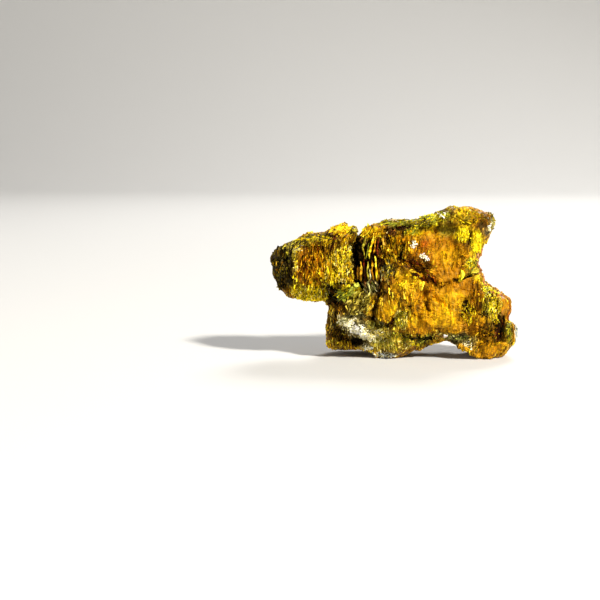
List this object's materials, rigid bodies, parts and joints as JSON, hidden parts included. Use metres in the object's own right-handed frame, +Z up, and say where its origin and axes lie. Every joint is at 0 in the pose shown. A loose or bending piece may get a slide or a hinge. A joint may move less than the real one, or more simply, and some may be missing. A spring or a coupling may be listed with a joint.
{
  "type": "orpiment with realgar specimen",
  "caption": "Free-standing rough mineral specimen of golden bladed orpiment with orange-red realgar, a deep cleft, a pale crust and small white grains; it rests on its flat feet.",
  "frame": {"origin": "middle of the bounding box, on the surface that the stone stands on", "axes": "+Z up, +X towards the horn and the right foot along the stone's length, +Y away from the viewer, through its thickness"},
  "size_m": [0.0989, 0.0428, 0.0599],
  "materials": {
    "orpiment": "resinous, fibrous golden-yellow crystal",
    "realgar": "glossy, deep orange-red crystal",
    "calcite": "dull, chalky cream-white crust and grains"
  },
  "bodies": {
    "root": {"orpiment_with_realgar": "orpiment"}
  },
  "joints": []
}
